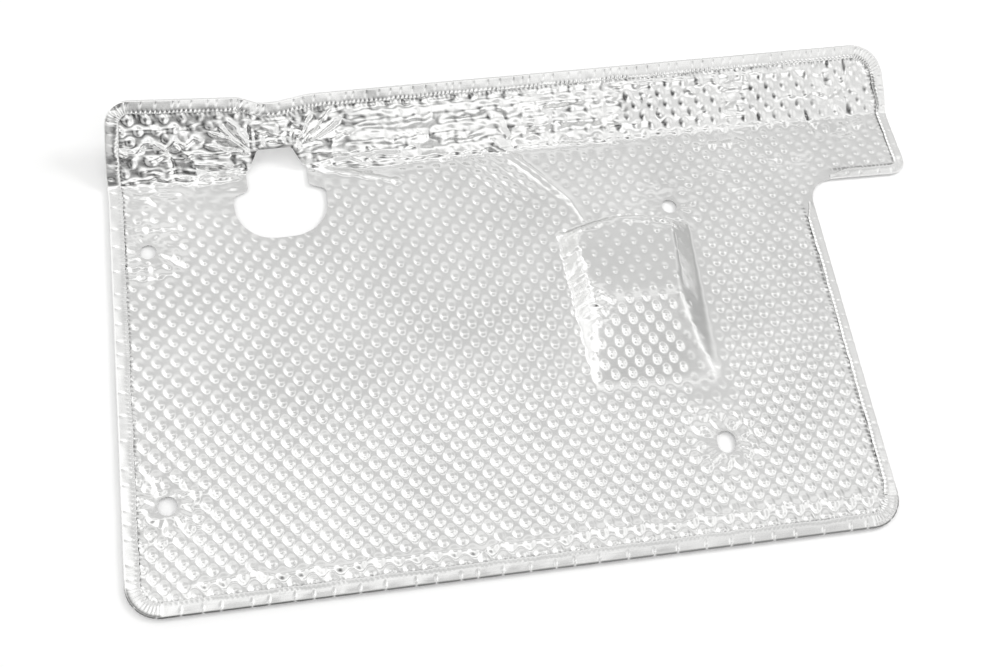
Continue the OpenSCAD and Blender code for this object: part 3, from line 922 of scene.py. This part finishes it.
def ticks(low_len, high_len, width, seed):
    """Narrow marks at uneven steps, 1 at each mark's middle."""
    at = stations(np.random.default_rng(seed), low_len, high_len)
    k = np.clip(np.searchsorted(at, hem_along), 1, len(at) - 1)
    return hump(np.minimum(np.abs(hem_along - at[k - 1]), np.abs(at[k] - hem_along)), 0, width)


BEAD_PITCH, PLEAT_PITCH = 2.0, 1.9
rear = rise(to_bend(hem_u, hem_v)[1], 5, 10)
front = fall(hem_v, 5, 8)
rear_left = rear * fall(hem_u, 10, 6)
to_end = smooth(np.minimum(hem_along, hem_length - hem_along) / 10)
beads = np.sin(hem_along * 2 * math.pi / BEAD_PITCH + 1.6 * line_noise(11, 61))
pleat = corner * (0.5 + 0.5 * np.sin(hem_along * 2 * math.pi / PLEAT_PITCH))
tilt = facets(3, 7.5, 65)
tilt_b = facets(2.2, 6, 66)
tick_fold = ticks(6, 13, 0.45, 67) * (1 - rear) + ticks(2.5, 8, 0.3, 68) * rear
tick_edge = ticks(1.7, 2.6, 0.5, 69)
END_W = 2.6  # the hem narrows to this at both its ends
width = HEM_W + 0.35 * front - HEM_NARROWER * right_side(hem_u, hem_v)
width = width + 0.22 * line_noise(7, 62) + 0.12 * beads + 0.14 * line_noise(1.7, 63)
width = END_W + (width - END_W) * to_end
thick = HEM_T - 0.1 + 0.12 * line_noise(16, 64) - 0.12 * corner - 0.35 * (1 - to_end)
crown = 0.42 - 0.06 * front + 0.4 * rear_left  # how far the hem falls towards its fold
edge_drop = 0.12 + 0.26 * rise(hem_u, 325, 8)  # the raw edge is pressed down
half = (thick - crown) / 2

# The hem's section, as rows (distance inwards, height) that go round it against the clock
ACROSS = (0.16, 0.3, 0.45, 0.6, 0.72, 0.82, 0.9, 0.96, 1.0)
LOWER_END = SHEET_INSET + HEM_LAP


def across(w):
    """Distance inwards at a share of the upper layer's width."""
    return HEM_R + (width - HEM_R) * w


def even(rows):
    """Rows that are the same all along the hem."""
    return [(np.full(n_s, d), np.full(n_s, z)) for d, z in rows]


ring = even(((LOWER_END, 0.14), (SHEET_INSET - 0.1, 0.0), (1.5, 0.0)))
fold_row = len(ring)
for q in np.radians(np.linspace(-90, 90, 9)):
    dent = (0.16 * tick_fold + 0.1 * pleat + 0.06 * np.abs(tilt)) * math.cos(q)
    ring.append((HEM_R * (1 - math.cos(q)) + dent, half + half * math.sin(q)))
for w in ACROSS:
    edge = rise(w, 0.62, 0.25)
    z = (
        thick
        - crown * (1 - w) ** 1.7
        + (0.12 + 0.6 * rear_left) * tilt * math.sin(math.pi * min(w * 1.1, 1))
        + 0.1 * tilt_b * w
        - 0.30 * tick_fold * fall(w, 0.25, 0.3)
        - 0.34 * pleat * (1 - 0.5 * w)
        + 0.09 * edge * beads
        - 0.12 * edge * tick_edge
        - 0.18 * rise(w, 0.9, 0.1)
        - edge_drop * rise(w, 0.7, 0.3)
    )
    ring.append((across(w), z))
edge_row = len(ring)
raw_d, raw_z = ring[-1]
ring += [(raw_d + 0.02, raw_z - 0.22), (raw_d - 0.05, raw_z - 0.46)]
for w in (0.8, 0.5, 0.2, 0.0):
    z = thick - SHEET_T - crown * (1 - w) ** 1.7 + 0.1 * tilt_b * w - 0.12 * pleat * (1 - w)
    ring.append((across(w), np.maximum(z, 0.72)))
for q in np.radians((50, 0, -50)):
    inner = np.maximum(half - SHEET_T, 0.16)
    ring.append((np.full(n_s, HEM_R - (HEM_R - SHEET_T) * math.cos(q)), half + inner * math.sin(q)))
ring += even(((HEM_R, 0.5), (SHEET_INSET, 0.47), (LOWER_END, 0.36)))

row_d, row_z = (np.stack([row[k] for row in ring], 1) for k in (0, 1))
hem_points = placed(hem_u[:, None] + hem_in[:, :1] * row_d, hem_v[:, None] + hem_in[:, 1:] * row_d, row_z)
rows = len(ring)
ids = np.arange(n_s * rows).reshape(n_s, rows)
turned = np.roll(ids, -1, axis=1)
a, b, c, d = ids[:-1], turned[:-1], turned[1:], ids[1:]
hem_tris = np.concatenate([np.stack([a, b, c], -1).reshape(-1, 3), np.stack([a, c, d], -1).reshape(-1, 3)])
caps = []
for section, flip in ((ids[0], False), (ids[-1], True)):
    # a strip of triangles between the section's outside and its inside, from both its ends
    left, right = 0, rows - 1
    while right - left > 1:
        strip = [(section[left], section[right], section[left + 1])]
        left += 1
        if right - left > 1:
            strip.append((section[left], section[right], section[right - 1]))
            right -= 1
        caps += [t[::-1] if flip else t for t in strip]
caps = np.array(caps)
hem_all = np.concatenate([hem_tris, caps])
flat_points = hem_points.reshape(-1, 3)
body_normals = surface_normals(hem_points, hem_tris)
hem_normals = np.concatenate([body_normals[hem_tris], flat_normals(flat_points, caps)])

# Its UV map is the strip cut into UV_ROWS lengths, one above the other
UV_ROWS = 8
uv_length = hem_length / UV_ROWS
around = np.r_[0, np.cumsum(np.hypot(np.diff(row_d.mean(0)), np.diff(row_z.mean(0))))]
uv_u = np.repeat((hem_along % uv_length)[:, None], rows, 1) / uv_length
uv_v = (np.floor(hem_along / uv_length)[:, None] + 0.9 * around / around[-1]) / UV_ROWS
hem_uv = np.stack([uv_u.ravel(), uv_v.ravel()], 1)

# Painted shade on its raw edge, in dashes, and painted contact shadow under its front fold, thickest at the
# front-left corner
edge_dash = dashes(hem_along, 2.0 * line_noise(13, 81), 0.9 * line_noise(19, 82))
low_front = fall(hem_v, 9, 12)
fold_shadow = low_front * (1 - 0.8 * tick_fold)
hem_painted_shade = np.zeros((n_s, rows))
hem_painted_shade[:, edge_row] = 0.6 * edge_dash
hem_painted_shade[:, edge_row + 1] = 0.5 * edge_dash
# painted contact shadow along the lower curve of the front fold
hem_painted_shade[:, fold_row + 2 : fold_row + 7] = 0.85 * fold_shadow[:, None]
hem_painted_shade[:, fold_row + 7] = 0.7 * fold_shadow
hem_painted_shade[:, fold_row + 8] = 0.8 * low_front * corner * (hem_u < 30)
hem_marks = {"painted_shade": hem_painted_shade.ravel()}
mesh_object("hem", flat_points, hem_all, hem_normals, folded_foil, hem_uv[hem_all], hem_marks)

# ---------------------------------------------------------------- studio

scene = bpy.context.scene
scene.view_settings.view_transform = "Standard"

# The camera stands where the photo's perspective puts it.
LENS, SENSOR = 55.8, 36
CAM_AT = Vector((-0.08835, -0.29276, 0.62307))
CAM_RIGHT = Vector((0.98062, -0.16255, 0.10933)).normalized()
CAM_UP = Vector((0.09844, 0.89141, 0.44237))
CAM_UP = (CAM_UP - CAM_RIGHT * CAM_UP.dot(CAM_RIGHT)).normalized()
cam_data = bpy.data.cameras.new("camera")
cam_data.lens, cam_data.sensor_width = LENS, SENSOR
cam_data.clip_start, cam_data.clip_end = 0.01, 50
cam = bpy.data.objects.new("camera", cam_data)
scene.collection.objects.link(cam)
cam_turn = Matrix((CAM_RIGHT, CAM_UP, CAM_RIGHT.cross(CAM_UP))).transposed()
cam.matrix_world = Matrix.Translation(CAM_AT) @ cam_turn.to_4x4()
scene.camera = cam

# The world that the metal mirrors: a plain grey room, with soft lighter and darker directions.
ROOM_TINT = (1.0, 1.0, 0.995, 1)
BASE_LIGHT = 0.66
BANDS = (
    # axis, its middle as a cosine, width, strength
    ((0.0, 1.0, 0.0), 0.74, 0.20, 0.26),
    ((0.0, 1.0, 0.0), 0.195, 0.065, 0.42),
    ((-0.05, -0.33, 0.94), 1.0, 0.13, 0.58),
    ((-0.02, -0.02, 1.00), 1.0, 0.011, -0.47),
    ((0.20, -0.07, 0.97), 1.0, 0.010, -0.36),
    ((0.33, 0.05, 0.94), 1.0, 0.03, -0.12),
    ((0.20, -0.89, 0.42), 1.0, 0.04, 0.75),
    ((0.50, -0.62, 0.60), 1.0, 0.05, 0.06),
    ((-0.12, -0.72, 0.68), 1.0, 0.06, -0.74),
    ((0.0, -1.0, 0.0), 1.0, 0.08, -0.4),
    ((-0.66, 0.08, 0.75), 1.0, 0.11, 0.4),
    ((-0.50, 0.35, 0.80), 1.0, 0.05, 0.35),
    ((-1.0, 0.1, 0.0), 1.0, 0.2, 0.05),
    ((0.85, -0.05, 0.50), 1.0, 0.12, 0.10),
    ((0.85, 0.50, 0.0), 1.0, 0.09, -0.22),
    ((0.72, -0.42, 0.55), 1.0, 0.04, 0.3),
    ((0.62, 0.33, 0.71), 1.0, 0.02, 0.12),
    ((0.60, -0.05, 0.80), 1.0, 0.025, 0.38),
    ((-0.88, 0.46, 0.0), 1.0, 0.06, 0.4),
)
world = bpy.data.worlds.new("studio")
world.use_nodes = True
scene.world = world
make, link = nodes_of(world.node_tree)
background = make("ShaderNodeBackground")
link(background.outputs[0], make("ShaderNodeOutputWorld").inputs[0])
direction = make("ShaderNodeTexCoord").outputs["Generated"]


def calculated(operation, *terms):
    """A maths node's output; each term is a socket or a number."""
    node = make("ShaderNodeMath", operation=operation)
    for term, socket in zip(terms, node.inputs):
        if isinstance(term, (int, float)):
            socket.default_value = term
        else:
            link(term, socket)
    return node.outputs[0]


level = BASE_LIGHT
for axis, middle, wide, strong in BANDS:
    dot = make("ShaderNodeVectorMath", operation="DOT_PRODUCT")
    link(direction, dot.inputs[0])
    dot.inputs[1].default_value = Vector(axis).normalized()
    off = calculated("MULTIPLY_ADD", dot.outputs["Value"], 1 / wide, -middle / wide)
    lobe = calculated("EXPONENT", calculated("MULTIPLY", calculated("MULTIPLY", off, off), -1))
    level = calculated("MULTIPLY_ADD", lobe, strong, level)
link(level, background.inputs["Strength"])
background.inputs["Color"].default_value = ROOM_TINT


def plain_light(name, at, size, watts):
    """A square lamp that faces the part and isn't mirrored in it."""
    data = bpy.data.lights.new(name, "AREA")
    data.size, data.energy = size, watts
    ob = bpy.data.objects.new(name, data)
    scene.collection.objects.link(ob)
    ob.location = at
    ob.rotation_euler = (-Vector(at)).to_track_quat("-Z", "Y").to_euler()
    ob.visible_glossy = False


plain_light("soft_top", (0, 0.2, 1.6), 1.2, 1.2)
plain_light("soft_right", (0.95, 0.35, 0.75), 0.35, 5.0)

# A white floor that keeps the part's shadow. It glows a little where it is seen, mirrored or seen through.
FLOOR_SIZE, FLOOR_Z = 4.0, -0.0009
FLOOR_COLOUR, FLOOR_GLOW = (0.90, 0.90, 0.90, 1), 0.05
me = bpy.data.meshes.new("floor")
square = ((-1, -1), (1, -1), (1, 1), (-1, 1))
me.from_pydata([(FLOOR_SIZE * x, FLOOR_SIZE * y, FLOOR_Z) for x, y in square], [], [(0, 1, 2, 3)])
floor = bpy.data.objects.new("floor", me)
scene.collection.objects.link(floor)
mat = bpy.data.materials.new("floor")
mat.use_nodes = True
make, link = nodes_of(mat.node_tree)
diffuse, glow, both = (make("ShaderNode" + kind) for kind in ("BsdfDiffuse", "Emission", "AddShader"))
rays = make("ShaderNodeLightPath").outputs
seen = calculated("MAXIMUM", rays["Is Camera Ray"], rays["Is Glossy Ray"])
seen = calculated("MAXIMUM", seen, rays["Is Transmission Ray"])
diffuse.inputs["Color"].default_value = FLOOR_COLOUR
link(calculated("MULTIPLY", seen, FLOOR_GLOW), glow.inputs["Strength"])
link(diffuse.outputs[0], both.inputs[0])
link(glow.outputs[0], both.inputs[1])
link(both.outputs[0], make("ShaderNodeOutputMaterial").inputs[0])
me.materials.append(mat)
